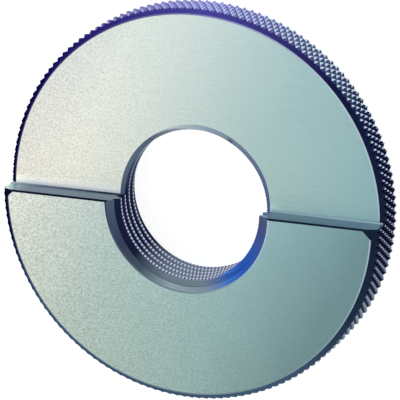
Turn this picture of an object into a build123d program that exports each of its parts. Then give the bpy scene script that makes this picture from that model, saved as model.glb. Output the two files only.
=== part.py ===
from build123d import *
import math
import os

# Thread ring gauge, solid, threaded and stepped, for R 1 taper pipe thread (11 threads to the inch).
# The gauge lies on its plain back face, z = 0. The bore axis is +Z and the step runs along X.
# Lengths are in millimetres and angles in degrees.

# Thread
pitch = 2.309
gauge_diameter = 33.249       # major diameter at the back face, where the thread is largest
taper = 1 / 16                # loss of diameter for each unit of height
thread_angle = 55             # between the flanks
crest_cut = 0.05              # ground off the crests, so that only the flanks bear
root_flat = 0.385             # width at the bottom of the groove
thread_clock = 55             # angle from +X where the groove leaves the recessed face

# The two faces stand one turn above and one turn below the nominal gauge length.
nominal_turns = 4.5
tolerance_turns = 1.0

# Rim and blank
rim_diameter = 80.0           # turned size, which the knurling raises
rim_chamfer = 1.4             # proud face
back_chamfer = 1.0            # ends in a square shoulder under the knurl
recessed_chamfer = 1.2        # rim edge of the recessed face

# Diamond knurl
knurl_pitch = 1.6             # from point to point round the rim
knurl_angle = 30              # lean of the grooves from the bore axis
knurl_depth = 0.6
knurl_rise = 0.2              # height of the points above the turned size
shoulder_step = 0.05          # shoulder below the bottoms of the grooves
knurl_clock = 0.25            # angle from +X to a point, in teeth, so that the step cuts no point in two

# Bore ends, as widths on the face
proud_relief = 1.08           # countersink past the bottom of the groove
proud_angle = 110             # between the sides of the countersink
back_relief = 0.2
back_angle = 90
recessed_break = 0.93         # edge break past the crests

# Step
step_edge_break = 0.35
step_foot_radius = 0.3
right_bevel = 1.65            # length along the step and along the rim, at +X
left_bevel = 1.1
corner_bevel_angle = 25       # slope below the proud face

# Derived sizes
recessed_height = (nominal_turns - tolerance_turns) * pitch
proud_height = (nominal_turns + tolerance_turns) * pitch
rim_radius = rim_diameter / 2
point_radius = rim_radius + knurl_rise
blank_radius = point_radius + knurl_rise
shoulder_radius = point_radius - knurl_depth - shoulder_step
thread_height = 0.640327 * pitch
groove_depth = thread_height - crest_cut
cone_half_angle = math.degrees(math.atan(taper / 2))


def root_radius(z):
    return (gauge_diameter - taper * z) / 2


def crest_radius(z):
    return root_radius(z) - groove_depth


def countersink_depth(width, angle, towards):
    # A cone of this angle, this much wider than the crests, meets the crest cone here.
    return width / (math.tan(math.radians(angle / 2)) + towards * taper / 2)


# The groove starts and ends clear of both faces and is cut a quarter of a turn at a time.
quarter_pitch = pitch / 4
quarters_below = 4 * math.ceil(recessed_height / pitch + 0.6)
quarters_above = 4 * math.ceil((proud_height - recessed_height) / pitch + 0.6)
groove_reach = groove_depth + 0.4
groove_mouth = root_flat + 2 * groove_reach * math.tan(math.radians(thread_angle / 2))

back_countersink = root_radius(0) + back_relief
proud_countersink = root_radius(proud_height) + proud_relief
back_depth = countersink_depth(groove_depth + back_relief, back_angle, -1)
proud_depth = countersink_depth(groove_depth + proud_relief, proud_angle, 1)
recessed_edge = crest_radius(recessed_height) + recessed_break
cutter_radius = crest_radius(recessed_height) - recessed_break

# Knurled cylinder: a shell of diamond points, taller than the gauge, that the turned blank is cut down to
teeth = round(math.pi * rim_diameter / knurl_pitch)
tooth_angle = 360 / teeth
row_height = math.pi * rim_diameter / teeth / math.tan(math.radians(knurl_angle))
half_rows = 2 * math.ceil(proud_height / row_height / 2 + 0.5)


def knurl_spot(radius, half_teeth, half_row):
    spot = Vector(radius, 0, proud_height / 2 + half_row * row_height / 2)
    return spot.rotate(Axis.Z, (knurl_clock + half_teeth / 2) * tooth_angle)


def knurl_flank(point, *bottoms):
    corners = [knurl_spot(point_radius, *point)]
    corners += [knurl_spot(point_radius - knurl_depth, *bottom) for bottom in bottoms]
    return Face(Wire.make_polygon(corners, close=True))


def knurl_end(half_row):
    corners = []
    for tooth in range(teeth):
        corners.append(knurl_spot(point_radius, 2 * tooth, half_row))
        corners.append(knurl_spot(point_radius - knurl_depth, 2 * tooth + 1, half_row))
    return Face(Wire.make_polygon(corners, close=True))


tooth_flanks = []
for row in range(-half_rows, half_rows):
    at = row % 2
    tooth_flanks += [
        knurl_flank((at, row), (at + 1, row), (at, row + 1)),
        knurl_flank((at, row), (at, row + 1), (at - 1, row)),
        knurl_flank((at + 1, row + 1), (at, row + 1), (at + 1, row)),
        knurl_flank((at + 1, row + 1), (at + 1, row), (at + 2, row + 1)),
    ]
knurl_faces = [knurl_end(-half_rows), knurl_end(half_rows)]
for tooth in range(teeth):
    knurl_faces += [Rotation(0, 0, tooth * tooth_angle) * flank for flank in tooth_flanks]
knurled_cylinder = Solid(Shell(knurl_faces))

# Groove of the taper thread, swept along a conical helix and open a little past the crests
groove = []
for quarter in range(-quarters_below, quarters_above):
    height = recessed_height + quarter * quarter_pitch
    with BuildPart() as groove_quarter:
        with BuildLine() as groove_path:
            Helix(
                pitch=pitch,
                height=quarter_pitch,
                radius=root_radius(height),
                center=(0, 0, height),
                cone_angle=-cone_half_angle,
            )
        root = root_radius(height)
        with BuildSketch(Plane.XZ) as groove_section:
            with BuildLine():
                Polyline(
                    (root, height + root_flat / 2),
                    (root, height - root_flat / 2),
                    (root - groove_reach, height - groove_mouth / 2),
                    (root - groove_reach, height + groove_mouth / 2),
                    close=True,
                )
            make_face()
        sweep(path=groove_path.line, is_frenet=True)
    groove.append(groove_quarter.part.rotate(Axis.Z, thread_clock + 90 * quarter))

with BuildPart() as gauge_ring:
    # Turned blank: half section with rim chamfers, taper bore and countersinks
    with BuildSketch(Plane.XZ) as blank_section:
        with BuildLine():
            Polyline(
                (crest_radius(back_depth), back_depth),
                (back_countersink, 0),
                (shoulder_radius - back_chamfer, 0),
                (shoulder_radius, back_chamfer),
                (blank_radius, back_chamfer),
                (blank_radius, proud_height - rim_chamfer - blank_radius + rim_radius),
                (rim_radius - rim_chamfer, proud_height),
                (proud_countersink, proud_height),
                (crest_radius(proud_height - proud_depth), proud_height - proud_depth),
                close=True,
            )
        make_face()
    revolve(axis=Axis.Z)

    # Thread
    add(groove, mode=Mode.SUBTRACT)

    # Step across the diameter, with its foot radius and its broken edge
    with BuildSketch(Plane.YZ) as step_section:
        with BuildLine():
            Polyline(
                (0, recessed_height),
                (0, proud_height - step_edge_break),
                (-step_edge_break, proud_height),
                (-step_edge_break, proud_height + pitch),
                (rim_radius + pitch, proud_height + pitch),
                (rim_radius + pitch, recessed_height),
                close=True,
            )
        make_face()
        foot = step_section.vertices().sort_by_distance((0, recessed_height))[0]
        fillet(foot, step_foot_radius)
    extrude(amount=rim_radius + pitch, both=True, mode=Mode.SUBTRACT)

    # Edges of the recessed face
    with BuildSketch(Plane.XZ) as recessed_edges:
        with BuildLine():
            Polyline(
                (rim_radius - recessed_chamfer, recessed_height),
                (rim_radius + recessed_chamfer, recessed_height),
                (rim_radius + recessed_chamfer, recessed_height - 2 * recessed_chamfer),
                close=True,
            )
        make_face()
        with BuildLine():
            Polyline(
                (recessed_edge, recessed_height),
                (cutter_radius, recessed_height),
                (cutter_radius, recessed_height - (recessed_edge - cutter_radius)),
                close=True,
            )
        make_face()
    revolve(axis=Axis.Z, revolution_arc=180, mode=Mode.SUBTRACT)

    # Bevels where step, proud face and rim meet
    face_radius = rim_radius - rim_chamfer
    lean = math.radians(corner_bevel_angle)
    for side, bevel in ((1, right_bevel), (-1, left_bevel)):
        turn = bevel / face_radius
        start = Vector(face_radius - bevel, -step_edge_break)
        end = Vector(face_radius * math.cos(turn), -step_edge_break - face_radius * math.sin(turn))
        run = (end - start).normalized()
        bevel_plane = Plane(
            origin=(side * start.X, start.Y, proud_height),
            x_dir=(side * run.X, run.Y, 0),
            z_dir=(-side * run.Y * math.sin(lean), run.X * math.sin(lean), math.cos(lean)),
        )
        with BuildSketch(bevel_plane) as bevel_patch:
            Circle(3 * bevel)
        extrude(amount=3 * bevel, mode=Mode.SUBTRACT)

    # Knurl
    add(knurled_cylinder, mode=Mode.INTERSECT)

gauge_ring.part.label = "gauge_ring"
os.makedirs("parts", exist_ok=True)
export_step(gauge_ring.part, "parts/gauge_ring.step")
print("volume", round(gauge_ring.part.volume, 1), "solids", len(gauge_ring.part.solids()))
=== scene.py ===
import math

import bpy
from mathutils import Matrix, Vector


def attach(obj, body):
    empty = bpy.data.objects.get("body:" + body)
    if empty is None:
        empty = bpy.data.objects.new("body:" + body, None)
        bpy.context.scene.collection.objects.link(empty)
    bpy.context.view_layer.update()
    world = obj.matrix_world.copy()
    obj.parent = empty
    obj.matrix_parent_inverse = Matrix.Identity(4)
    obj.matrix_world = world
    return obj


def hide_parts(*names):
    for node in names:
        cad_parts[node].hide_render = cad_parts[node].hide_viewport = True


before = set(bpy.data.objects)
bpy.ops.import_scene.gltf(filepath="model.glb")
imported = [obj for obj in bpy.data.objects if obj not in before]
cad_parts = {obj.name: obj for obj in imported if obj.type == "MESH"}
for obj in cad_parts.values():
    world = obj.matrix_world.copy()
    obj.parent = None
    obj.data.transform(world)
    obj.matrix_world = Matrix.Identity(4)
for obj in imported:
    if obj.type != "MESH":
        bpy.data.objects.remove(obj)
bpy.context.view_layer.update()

mm = 0.001


def deselectAll():
    if bpy.context.object and bpy.context.object.mode != "OBJECT":
        bpy.ops.object.mode_set(mode="OBJECT")
    bpy.ops.object.select_all(action="DESELECT")


def makeActive(piece):
    deselectAll()
    piece.select_set(True)
    bpy.context.view_layer.objects.active = piece


def openForEdit(piece, kind):
    makeActive(piece)
    bpy.ops.object.mode_set(mode="EDIT")
    bpy.ops.mesh.select_mode(type=kind)
    bpy.ops.mesh.select_all(action="DESELECT")
    bpy.ops.object.mode_set(mode="OBJECT")


def pickPoints(piece, test):
    openForEdit(piece, "VERT")
    count = 0
    for point in piece.data.vertices:
        point.select = test(point.co)
        count += point.select
    bpy.ops.object.mode_set(mode="EDIT")
    return count


def pickEdges(piece, test):
    openForEdit(piece, "EDGE")
    points = piece.data.vertices
    count = 0
    for edge in piece.data.edges:
        edge.select = test(points[edge.vertices[0]].co, points[edge.vertices[1]].co)
        count += edge.select
    bpy.ops.object.mode_set(mode="EDIT")
    return count


def across(point):
    return math.hypot(point.x, point.y)


# Colours are written as sRGB hex and turned to linear here
def colour(code):
    parts = [int(code[i:i + 2], 16) / 255 for i in (1, 3, 5)]
    linear = [p / 12.92 if p <= 0.04045 else ((p + 0.055) / 1.055) ** 2.4 for p in parts]
    return (*linear, 1.0)


def addNode(tree, kind, settings=None, inputs=None):
    node = tree.nodes.new(kind)
    for name, value in (settings or {}).items():
        setattr(node, name, value)
    for name, value in (inputs or {}).items():
        socket = node.inputs[name]
        if hasattr(value, "is_output"):
            tree.links.new(value, socket)
        else:
            socket.default_value = value
    return node


def newMaterial(name):
    material = bpy.data.materials.new(name)
    material.use_nodes = True
    tree = material.node_tree
    tree.nodes.clear()
    shader = addNode(tree, "ShaderNodeBsdfPrincipled")
    output = addNode(tree, "ShaderNodeOutputMaterial")
    tree.links.new(shader.outputs["BSDF"], output.inputs["Surface"])
    return material, tree, shader


def placeInRing(tree):
    return addNode(tree, "ShaderNodeTexCoord").outputs["Object"]


def colourRamp(tree, factor, stops):
    ramp = addNode(tree, "ShaderNodeValToRGB", inputs={"Fac": factor})
    band = ramp.color_ramp
    band.elements[0].position, band.elements[0].color = stops[0][0], colour(stops[0][1])
    band.elements[1].position, band.elements[1].color = stops[-1][0], colour(stops[-1][1])
    for position, code in stops[1:-1]:
        band.elements.new(position).color = colour(code)
    return ramp.outputs["Color"]


# Turns a place in the ring into 0 to 1 round the axis: 0 left, 0.25 front, 0.5 right, 0.75 rear
def aroundAxis(tree, place):
    flat = addNode(tree, "ShaderNodeMapping", inputs={
        "Vector": place, "Scale": (1 / mm, 1 / mm, 0.0)}).outputs["Vector"]
    return addNode(tree, "ShaderNodeTexGradient", {"gradient_type": "RADIAL"},
                   {"Vector": flat}).outputs["Fac"]


# Turns a place in the ring into 0 to 1 from its left end to its right end
def leftToRight(tree, place):
    lean = addNode(tree, "ShaderNodeSeparateXYZ", inputs={"Vector": place}).outputs["X"]
    return addNode(tree, "ShaderNodeMapRange", inputs={
        "Value": lean, "From Min": -40 * mm, "From Max": 40 * mm}).outputs["Result"]


def distanceFromAxis(tree, place):
    flat = addNode(tree, "ShaderNodeVectorMath", {"operation": "MULTIPLY"},
                   {0: place, 1: (1.0, 1.0, 0.0)}).outputs["Vector"]
    return addNode(tree, "ShaderNodeVectorMath", {"operation": "LENGTH"}, {0: flat}).outputs["Value"]


def blendColours(tree, factor, first, second):
    return addNode(tree, "ShaderNodeMix", {"data_type": "RGBA"},
                   {0: factor, 6: first, 7: second}).outputs[2]


def finishShader(tree, shader, tint, rough, bump=None):
    shader.inputs["Metallic"].default_value = 1.0
    tree.links.new(tint, shader.inputs["Base Color"])
    if hasattr(rough, "is_output"):
        tree.links.new(rough, shader.inputs["Roughness"])
    else:
        shader.inputs["Roughness"].default_value = rough
    if bump:
        tree.links.new(bump, shader.inputs["Normal"])


# The leans say how much a value changes per metre along X, Y and Z
grinding = {
    "paintedLightLean": (10.0, -5.0, 45.0),
    "paintedLightSpan": 1.04,
    "cloudSize": 22 * mm,
    "cloudShare": 0.12,
    "gritSize": 0.4 * mm,           # real grit marks are 0.05 mm across, too fine to show
    "gritDepth": 0.01 * mm,
    "gritBump": 0.25,
    "grainLean": (-24.0, 0.0, 50.0),
    "grainBase": 0.42,
    "grainLeast": 0.3,
    "streakLength": 6 * mm,
    "streakWidth": 0.25 * mm,
    "streakShare": 0.12,
    "plainShare": 0.94,
    "paintedStripReach": 4 * mm,           # the painted strip of light at the step's foot fades out at 0.62 of this
    "paintedStripGain": 0.75,
    "paintedStripLean": -12.0,
    "lowerFace": 8.0815 * mm,
    "paintedWarmLean": (-1.7, -1.8, 0.0),
    "paintedCoolLean": 2.2,
    "roughLeast": 0.36,
    "roughMost": 0.48,
}


# Fine-ground hardened tool steel: a pale satin metal with an even, very fine grain; painted light makes it
# paler and warmer on one side
def fineGroundSteel(size):
    material, tree, shader = newMaterial("fineGroundSteel")
    place = placeInRing(tree)
    spot = addNode(tree, "ShaderNodeSeparateXYZ", inputs={"Vector": place}).outputs

    # Painted light: the tone falls from pale and warm at the left to teal-grey at the right, and a little
    # with height, so that the two half faces differ
    lean = addNode(tree, "ShaderNodeVectorMath", {"operation": "DOT_PRODUCT"},
                   {0: place, 1: size["paintedLightLean"]}).outputs["Value"]
    cloud = addNode(tree, "ShaderNodeTexNoise", inputs={
        "Vector": place, "Scale": 1 / size["cloudSize"], "Detail": 3.0, "Roughness": 0.5}).outputs["Fac"]
    mixed = addNode(tree, "ShaderNodeMath", {"operation": "MULTIPLY_ADD"},
                    {0: cloud, 1: size["cloudShare"], 2: lean}).outputs["Value"]
    shift = addNode(tree, "ShaderNodeMapRange", inputs={
        "Value": mixed, "From Min": 0.0, "From Max": size["paintedLightSpan"]}).outputs["Result"]
    tone = colourRamp(tree, shift, [
        (0.0, "#ced1c8"), (0.12, "#d6dacd"), (0.22, "#ced5cb"), (0.49, "#a8bfbb"), (0.8, "#90b1b4"),
        (1.0, "#749399")])

    grain = addNode(tree, "ShaderNodeTexNoise", inputs={
        "Vector": place, "Scale": 1 / size["gritSize"], "Detail": 2.0, "Roughness": 0.6}).outputs["Fac"]
    rough = addNode(tree, "ShaderNodeMapRange", inputs={
        "Value": grain, "From Min": 0.3, "From Max": 0.7,
        "To Min": size["roughLeast"], "To Max": size["roughMost"]}).outputs["Result"]
    bump = addNode(tree, "ShaderNodeBump", inputs={
        "Strength": size["gritBump"], "Distance": size["gritDepth"], "Height": grain}).outputs["Normal"]

    # The grain stands out most at the left and on the proud half
    gain = addNode(tree, "ShaderNodeVectorMath", {"operation": "DOT_PRODUCT"},
                   {0: place, 1: size["grainLean"]}).outputs["Value"]
    gain = addNode(tree, "ShaderNodeMath", {"operation": "ADD"},
                   {0: gain, 1: size["grainBase"]}).outputs["Value"]
    gain = addNode(tree, "ShaderNodeMath", {"operation": "MAXIMUM"},
                   {0: gain, 1: size["grainLeast"]}).outputs["Value"]
    spread = addNode(tree, "ShaderNodeMath", {"operation": "SUBTRACT"}, {0: grain, 1: 0.5}).outputs["Value"]
    speck = addNode(tree, "ShaderNodeMath", {"operation": "MULTIPLY_ADD"},
                    {0: spread, 1: gain, 2: size["plainShare"]}).outputs["Value"]

    # Long streaks of the grinding wheel lie along the step
    stretched = addNode(tree, "ShaderNodeMapping", inputs={
        "Vector": place, "Scale": (1 / size["streakLength"], 1 / size["streakWidth"], 1.0)}).outputs["Vector"]
    streak = addNode(tree, "ShaderNodeTexNoise", inputs={
        "Vector": stretched, "Scale": 1.0, "Detail": 1.0, "Roughness": 0.5}).outputs["Fac"]
    speck = addNode(tree, "ShaderNodeMath", {"operation": "MULTIPLY_ADD"},
                    {0: streak, 1: size["streakShare"], 2: speck}).outputs["Value"]

    # Painted light: a brighter strip on the lower face along the foot of the step, strongest at the left,
    # lifts the shade that the step wall casts there
    away = addNode(tree, "ShaderNodeMapRange", inputs={
        "Value": spot["Y"], "From Min": 0.0, "From Max": size["paintedStripReach"]}).outputs["Result"]
    paintedStrip = colourRamp(tree, away, [
        (0.0, "#000000"), (0.02, "#ffffff"), (0.2, "#ffffff"), (0.38, "#8c8c8c"), (0.62, "#000000")])
    height = addNode(tree, "ShaderNodeMath", {"operation": "MULTIPLY"},
                     {0: spot["Z"], 1: size["paintedStripGain"] / size["lowerFace"]}).outputs["Value"]
    leftward = addNode(tree, "ShaderNodeMath", {"operation": "MULTIPLY_ADD"},
                       {0: spot["X"], 1: size["paintedStripLean"], 2: 1.0}).outputs["Value"]
    height = addNode(tree, "ShaderNodeMath", {"operation": "MULTIPLY"},
                     {0: height, 1: leftward}).outputs["Value"]
    paintedStripLift = addNode(tree, "ShaderNodeMath", {"operation": "MULTIPLY_ADD"},
                   {0: paintedStrip, 1: height, 2: 1.0}).outputs["Value"]
    speck = addNode(tree, "ShaderNodeMath", {"operation": "MULTIPLY"}, {0: speck, 1: paintedStripLift}).outputs["Value"]
    grained = addNode(tree, "ShaderNodeVectorMath", {"operation": "SCALE"},
                      {0: tone, "Scale": speck}).outputs["Vector"]

    # Painted colour of the light: a trace bluer towards the rear, greener towards the front and redder
    # towards the left
    warm = addNode(tree, "ShaderNodeVectorMath", {"operation": "DOT_PRODUCT"},
                   {0: place, 1: size["paintedWarmLean"]}).outputs["Value"]
    warm = addNode(tree, "ShaderNodeMath", {"operation": "ADD"}, {0: warm, 1: 1.0}).outputs["Value"]
    cool = addNode(tree, "ShaderNodeMath", {"operation": "MULTIPLY_ADD"},
                   {0: spot["Y"], 1: size["paintedCoolLean"], 2: 1.0}).outputs["Value"]
    cast = addNode(tree, "ShaderNodeCombineXYZ", inputs={"X": warm, "Y": 1.0, "Z": cool}).outputs["Vector"]
    tint = addNode(tree, "ShaderNodeVectorMath", {"operation": "MULTIPLY"},
                   {0: grained, 1: cast}).outputs["Vector"]
    finishShader(tree, shader, tint, rough, bump)
    return material


# Milled step wall: the same steel, duller from the cutter and bluer, with a painted highlight at its pale
# left end
def milledSteel():
    material, tree, shader = newMaterial("milledSteel")
    tint = colourRamp(tree, leftToRight(tree, placeInRing(tree)), [
        (0.0, "#d0ece4"), (0.06, "#94a9bf"), (0.3, "#93a9be"), (1.0, "#a2b9cd")])
    finishShader(tree, shader, tint, 0.5)
    return material


# Foot and lip of the step: the same cut, pale towards both ends as a painted highlight and darker near the
# bore at the left
def filletSteel():
    material, tree, shader = newMaterial("filletSteel")
    tint = colourRamp(tree, leftToRight(tree, placeInRing(tree)), [
        (0.0, "#b8ccd0"), (0.08, "#7c8ea0"), (0.26, "#26324c"), (0.5, "#5a6c80"), (0.7, "#a8c0cc"),
        (1.0, "#b8d0dc")])
    finishShader(tree, shader, tint, 0.45)
    return material


# Black oxide on turned steel: blue-black and satin, with painted reflection round the axis, violet and
# brighter towards the rear and greyer at the front
def blackOxideSteel():
    material, tree, shader = newMaterial("blackOxideSteel")
    tint = colourRamp(tree, aroundAxis(tree, placeInRing(tree)), [
        (0.0, "#0e1434"), (0.04, "#1c2846"), (0.1, "#687f88"), (0.25, "#606f78"), (0.34, "#4c6074"),
        (0.42, "#26354c"), (0.5, "#1b273f"), (0.62, "#1b1e4a"), (0.74, "#544eb0"), (0.84, "#322a79"),
        (0.92, "#241d4e"), (1.0, "#0e1434")])
    # A dark film stays dark even where it is seen at a slant
    shader.inputs["Specular Tint"].default_value = colour("#6878a8")
    finishShader(tree, shader, tint, 0.38)
    return material


# How far out from the axis the dark of oxide and painted shade reaches up the knurl's flanks
oxideAndShadeReach = {
    "lowestReach": 39.5 * mm,
    "reachRange": 0.45 * mm,
    "fade": 0.18 * mm,
}


# Knurled flanks on one side of each point: a painted glint along the ridges, tinted round the axis as painted
# reflection, with oxide and painted shade down in the grooves
def paintedGlintKnurlSteel(size):
    material, tree, shader = newMaterial("paintedGlintKnurlSteel")
    place = placeInRing(tree)
    turn = aroundAxis(tree, place)
    bright = colourRamp(tree, turn, [
        (0.0, "#3a4268"), (0.25, "#b4cbd0"), (0.45, "#687c90"), (0.52, "#ccd8f0"), (0.6, "#c4d6e4"),
        (0.68, "#c4cff0"), (0.75, "#b0b8ec"), (0.83, "#8a88d0"), (0.9, "#565a84"), (1.0, "#3a4268")])
    # White is the furthest reach of the dark, at the right, and it is least at the rear; beyond the oxide in
    # the grooves it is painted shade
    reach = colourRamp(tree, turn, [
        (0.0, "#808080"), (0.25, "#808080"), (0.42, "#c0c0c0"), (0.5, "#ffffff"), (0.57, "#d8d8d8"),
        (0.63, "#909090"), (0.75, "#404040"), (1.0, "#808080")])
    low = addNode(tree, "ShaderNodeMath", {"operation": "MULTIPLY_ADD"},
                  {0: reach, 1: size["reachRange"], 2: size["lowestReach"]}).outputs["Value"]
    high = addNode(tree, "ShaderNodeMath", {"operation": "ADD"}, {0: low, 1: size["fade"]}).outputs["Value"]
    ridge = addNode(tree, "ShaderNodeMapRange", {"interpolation_type": "SMOOTHSTEP"}, {
        "Value": distanceFromAxis(tree, place), "From Min": low, "From Max": high}).outputs["Result"]
    tint = blendColours(tree, ridge, colour("#1a2244"), bright)
    finishShader(tree, shader, tint, 0.34)
    return material


# Knurled flanks on the other side of each point: the oxide with painted shade, nearly black in the grooves,
# and painted reflection round the axis that is palest at the rear
def oxideAndShadeKnurlSteel():
    material, tree, shader = newMaterial("oxideAndShadeKnurlSteel")
    tint = colourRamp(tree, aroundAxis(tree, placeInRing(tree)), [
        (0.0, "#12183c"), (0.25, "#5c6c78"), (0.42, "#344458"), (0.5, "#101830"), (0.58, "#1a2a48"),
        (0.66, "#4a5c84"), (0.75, "#8488d0"), (0.83, "#4a4494"), (0.9, "#20244a"), (1.0, "#12183c")])
    shader.inputs["Specular Tint"].default_value = colour("#4a5a80")
    finishShader(tree, shader, tint, 0.36)
    return material


# Knurl points: worn to bare steel, where they glint; their colour round the axis is painted reflection,
# darkest at the left
def wornPointSteel():
    material, tree, shader = newMaterial("wornPointSteel")
    tint = colourRamp(tree, aroundAxis(tree, placeInRing(tree)), [
        (0.0, "#4a5278"), (0.3, "#a9bcc4"), (0.5, "#d4dcee"), (0.7, "#d8dcfa"), (0.83, "#a9a8e0"),
        (0.9, "#6a6c90"), (1.0, "#4a5278")])
    finishShader(tree, shader, tint, 0.3)
    return material


# Turned steel in the bore: slate, grey and one bright blue patch, painted reflections of light round the axis
def countersinkSteelWithPaintedReflection():
    material, tree, shader = newMaterial("countersinkSteelWithPaintedReflection")
    tint = colourRamp(tree, aroundAxis(tree, placeInRing(tree)), [
        (0.0, "#586c84"), (0.09, "#414c68"), (0.15, "#506274"), (0.22, "#a8bfc6"), (0.29, "#93a6b7"),
        (0.34, "#4a88e6"), (0.38, "#2f6ad8"), (0.42, "#3f6cd0"), (0.47, "#606fb0"), (0.53, "#7690a8"),
        (0.65, "#9fb4c6"), (0.78, "#e4f2f8"), (0.86, "#98acc6"), (1.0, "#586c84")])
    finishShader(tree, shader, tint, 0.35)
    return material


# Radii are at the back face; the last part of crestLean is the taper of the bore
crestHighlighting = {
    "crestHighlightDashes": 124,
    "crestHighlightDashEdge": 0.6,
    "crestRadius": 15.2 * mm,
    "crestHighlightRadius": 15.4 * mm,
    "crestLean": (-0.006, 0.012, 1 / 32),
}


# Lapped thread: a painted highlight along the crests, which are partly polished, down to painted shade, dark
# blue, in the roots; the colour round the axis is painted reflection
def threadSteelWithPaintedLight(size):
    material, tree, shader = newMaterial("threadSteelWithPaintedLight")
    place = placeInRing(tree)
    turn = aroundAxis(tree, place)
    rootShadeAndReflection = colourRamp(tree, turn, [
        (0.0, "#1e2444"), (0.12, "#1c2242"), (0.2, "#7c8e9e"), (0.28, "#82949e"), (0.34, "#3668c4"),
        (0.41, "#2c54bc"), (0.5, "#5a6cb0"), (0.58, "#8a9cc8"), (0.72, "#b0c8dc"), (0.8, "#d8e6ee"),
        (0.87, "#a8bccc"), (0.93, "#4c5c7c"), (1.0, "#1e2444")])
    # A sine round the axis breaks the painted crest highlight into dashes
    beat = addNode(tree, "ShaderNodeMath", {"operation": "MULTIPLY"},
                   {0: turn, 1: size["crestHighlightDashes"] * math.tau}).outputs["Value"]
    beat = addNode(tree, "ShaderNodeMath", {"operation": "SINE"}, {0: beat}).outputs["Value"]
    dash = addNode(tree, "ShaderNodeMapRange", inputs={
        "Value": beat, "From Min": -size["crestHighlightDashEdge"], "From Max": size["crestHighlightDashEdge"]}).outputs["Result"]
    dashedHighlight = colourRamp(tree, dash, [(0.0, "#505e88"), (1.0, "#ccd6ee")])
    # Depth below the crest, with the taper taken out; the painted crest highlight is widest at the front and
    # right
    lean = addNode(tree, "ShaderNodeVectorMath", {"operation": "DOT_PRODUCT"},
                   {0: place, 1: size["crestLean"]}).outputs["Value"]
    depth = addNode(tree, "ShaderNodeMath", {"operation": "ADD"},
                    {0: distanceFromAxis(tree, place), 1: lean}).outputs["Value"]
    worn = addNode(tree, "ShaderNodeMapRange", {"interpolation_type": "SMOOTHSTEP"}, {
        "Value": depth, "From Min": size["crestHighlightRadius"], "From Max": size["crestRadius"]}).outputs["Result"]
    finishShader(tree, shader, blendColours(tree, worn, rootShadeAndReflection, dashedHighlight), 0.3)
    return material


# Broken edges of the ground faces: a stoned line, painted as a pale highlight where it faces right and as
# blue-black shade at the left
def stonedEdgeSteel():
    material, tree, shader = newMaterial("stonedEdgeSteel")
    tint = colourRamp(tree, aroundAxis(tree, placeInRing(tree)), [
        (0.0, "#39406a"), (0.25, "#7f93a0"), (0.4, "#9cb8c4"), (0.5, "#c0dae6"), (0.62, "#d0e6f0"),
        (0.72, "#9a9ee0"), (0.85, "#4a4880"), (1.0, "#39406a")])
    finishShader(tree, shader, tint, 0.4)
    return material


# Gauge ring: a merged copy of the solid, its knurl points worn flat and its ground edges broken
ringSize = {
    "faceHeights": (8.0815 * mm, 12.6995 * mm),
    "faceRims": (38.8 * mm, 38.6 * mm),
    "countersinkRim": 17.308 * mm,
    "pointRadius": 40.2 * mm,
    "pointWear": 0.2 * mm,          # taken off along each ridge of a knurl point
    "edgeBreak": 0.17 * mm,
    "near": 0.02 * mm,
    "mergeWithin": 0.001 * mm,
    "flatWithin": 0.05,             # degrees between triangles that belong to one flat face
    "sharpFrom": 15,                # degrees
}


def makeRing(size):
    ring = bpy.data.objects.new("gaugeRing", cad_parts["gauge_ring"].data.copy())
    bpy.context.scene.collection.objects.link(ring)
    makeActive(ring)
    bpy.ops.mesh.customdata_custom_splitnormals_clear()
    bpy.ops.object.mode_set(mode="EDIT")
    bpy.ops.mesh.select_all(action="SELECT")
    bpy.ops.mesh.remove_doubles(threshold=size["mergeWithin"])
    bpy.ops.mesh.dissolve_limited(angle_limit=math.radians(size["flatWithin"]))
    bpy.ops.object.mode_set(mode="OBJECT")

    # Worn knurl points
    points = pickPoints(ring, lambda point: across(point) > size["pointRadius"] - size["near"])
    bpy.ops.mesh.bevel(offset=size["pointWear"], affect="VERTICES", segments=1)

    # Broken edges of the ground faces: both rims, and the countersink's edge on the proud face
    circles = list(zip(size["faceHeights"], size["faceRims"]))
    circles.append((size["faceHeights"][1], size["countersinkRim"]))

    def groundEdge(*ends):
        return any(all(abs(end.z - height) < size["near"] and abs(across(end) - radius) < size["near"]
                       for end in ends) for height, radius in circles)

    edges = pickEdges(ring, groundEdge)
    bpy.ops.mesh.bevel(offset=size["edgeBreak"], affect="EDGES", segments=1)
    bpy.ops.object.mode_set(mode="OBJECT")
    print("knurl points", points, "ground edges", edges)
    return ring


print("modelling the gauge ring")
ring = makeRing(ringSize)
print("ring faces", len(ring.data.polygons))

finishes = {
    "ground": fineGroundSteel(grinding),
    "milled": milledSteel(),
    "fillet": filletSteel(),
    "oxide": blackOxideSteel(),
    "paintedReflectionCountersink": countersinkSteelWithPaintedReflection(),
    "thread": threadSteelWithPaintedLight(crestHighlighting),
    "edge": stonedEdgeSteel(),
    "paintedGlintFlank": paintedGlintKnurlSteel(oxideAndShadeReach),
    "paintedShadeFlank": oxideAndShadeKnurlSteel(),
    "point": wornPointSteel(),
}

# Where one finish ends and the next begins; the values without a unit are parts of a face's normal
borders = {
    "level": 0.9999,
    "wallFacing": 0.999,
    "wallReach": 0.01 * mm,
    "knurlRoot": 39.3 * mm,
    "knurlSlope": 0.6,
    "pointFacing": 0.97,
    "rimBreak": 38.7 * mm,
    "rimBreakReach": 0.3 * mm,
    "boreBreakReach": 0.1 * mm,
    "breakSlope": 0.85,
    "breakSideways": 0.1,
    "filletReach": 0.4 * mm,
    "filletTop": 9 * mm,
    "filletSideways": 0.05,
    "boreSide": 20 * mm,
    "countersinkSlopes": (0.6, 0.85),   # they lean 55 and 45 degrees, and the thread's flanks lie flatter
}


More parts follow.
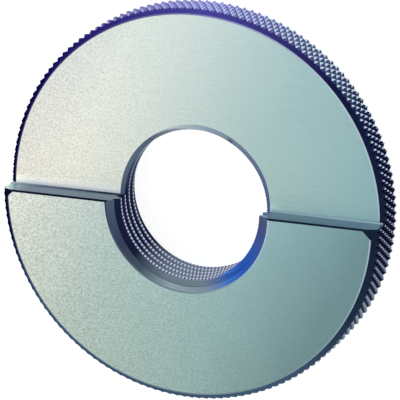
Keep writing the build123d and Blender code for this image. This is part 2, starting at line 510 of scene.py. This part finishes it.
def finishOf(centre, normal, limit):
    radius = across(centre)
    outward = (centre.x * normal.x + centre.y * normal.y) / radius
    sideways = (centre.x * normal.y - centre.y * normal.x) / radius
    slope = abs(normal.z)
    if slope > limit["level"]:
        return "ground"
    if abs(normal.y) > limit["wallFacing"] and abs(centre.y) < limit["wallReach"]:
        return "milled"
    if radius > limit["knurlRoot"] and slope < limit["knurlSlope"]:
        if outward > limit["pointFacing"]:
            return "point"
        # Painted light: flanks on one side of each point take the painted glint, the others the painted shade
        return "paintedGlintFlank" if sideways > 0 else "paintedShadeFlank"
    if slope > limit["breakSlope"] and abs(sideways) < limit["breakSideways"]:
        atRim = abs(radius - limit["rimBreak"]) < limit["rimBreakReach"]
        atBore = abs(radius - ringSize["countersinkRim"]) < limit["boreBreakReach"]
        if atRim or atBore:
            return "edge"
    byStep = abs(centre.y) < limit["filletReach"] and centre.z < limit["filletTop"]
    if byStep and normal.z > 0 and abs(normal.x) < limit["filletSideways"]:
        return "fillet"
    if radius > limit["boreSide"]:
        return "oxide"
    low, high = limit["countersinkSlopes"]
    return "paintedReflectionCountersink" if low < slope < high else "thread"


print("giving each face its finish")
ring.data.materials.clear()
for material in finishes.values():
    ring.data.materials.append(material)
order = list(finishes)
for face in ring.data.polygons:
    face.material_index = order.index(finishOf(face.center, face.normal, borders))

makeActive(ring)
bpy.ops.object.shade_smooth_by_angle(angle=math.radians(ringSize["sharpFrom"]))
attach(ring, "root")
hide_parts("gauge_ring")

print("placing floor, lights and camera")
floorLook = {
    "size": 6.0,
    "drop": 0.02 * mm,              # below the back face, so that the two don't share a plane
    "tone": "#a8a8a8",
    "rough": 0.9,
    "glow": 0.85,
}
deselectAll()
bpy.ops.mesh.primitive_plane_add(size=floorLook["size"], location=(0, 0, -floorLook["drop"]))
floor = bpy.context.object
floor.name = "floor"
paper, tree, shader = newMaterial("paleFloor")
shader.inputs["Base Color"].default_value = colour(floorLook["tone"])
shader.inputs["Roughness"].default_value = floorLook["rough"]
# The floor glows for the camera and in the metal, so that it looks white and still takes the soft shadow
rays = addNode(tree, "ShaderNodeLightPath").outputs
seen = addNode(tree, "ShaderNodeMath", {"operation": "ADD"},
               {0: rays["Is Camera Ray"], 1: rays["Is Glossy Ray"]}).outputs["Value"]
seen = addNode(tree, "ShaderNodeMath", {"operation": "ADD", "use_clamp": True},
               {0: seen, 1: rays["Is Transmission Ray"]}).outputs["Value"]
glow = addNode(tree, "ShaderNodeMath", {"operation": "MULTIPLY"},
               {0: seen, 1: floorLook["glow"]}).outputs["Value"]
shader.inputs["Emission Color"].default_value = colour("#ffffff")
tree.links.new(glow, shader.inputs["Emission Strength"])
floor.data.materials.append(paper)

studio = {
    "worldStrength": 0.7,
    "lampPlace": (-0.30, -0.10, 0.55),
    "lampTarget": (-0.03, 0.0, 0.0),
    "lampWidth": 0.35,
    "lampPower": 0.35,
}
world = bpy.data.worlds.new("studio")
bpy.context.scene.world = world
world.use_nodes = True
background = world.node_tree.nodes["Background"]
background.inputs["Color"].default_value = colour("#ffffff")
background.inputs["Strength"].default_value = studio["worldStrength"]

softbox = bpy.data.lights.new("keySoftbox", "AREA")
softbox.shape = "DISK"
softbox.size = studio["lampWidth"]
softbox.energy = studio["lampPower"]
lamp = bpy.data.objects.new("keySoftbox", softbox)
bpy.context.scene.collection.objects.link(lamp)
lamp.location = studio["lampPlace"]
aim = Vector(studio["lampTarget"]) - Vector(studio["lampPlace"])
lamp.rotation_euler = aim.to_track_quat("-Z", "Y").to_euler()

# Where the lens stands, which way it looks, and its focal length and the picture's width in pixels
view = {
    "place": (0.270944, 0.230538, 0.713090),
    "right": (0.933905, 0.000742, -0.357519),
    "up": (-0.104747, 0.956684, -0.271632),
    "back": (0.341832, 0.291127, 0.893530),
    "sensor": 36.0,
    "focalPixels": 3961.6,
    "pictureWidth": 400,
    "nearest": 0.05,
    "furthest": 10.0,
}
camera = bpy.data.cameras.new("camera")
camera.sensor_width = view["sensor"]
camera.lens = view["sensor"] * view["focalPixels"] / view["pictureWidth"]
camera.clip_start = view["nearest"]
camera.clip_end = view["furthest"]
cameraObject = bpy.data.objects.new("camera", camera)
bpy.context.scene.collection.objects.link(cameraObject)
turn = Matrix((view["right"], view["up"], view["back"])).transposed().to_4x4()
cameraObject.matrix_world = Matrix.Translation(Vector(view["place"])) @ turn
bpy.context.scene.camera = cameraObject

bpy.context.scene.view_settings.view_transform = "Standard"
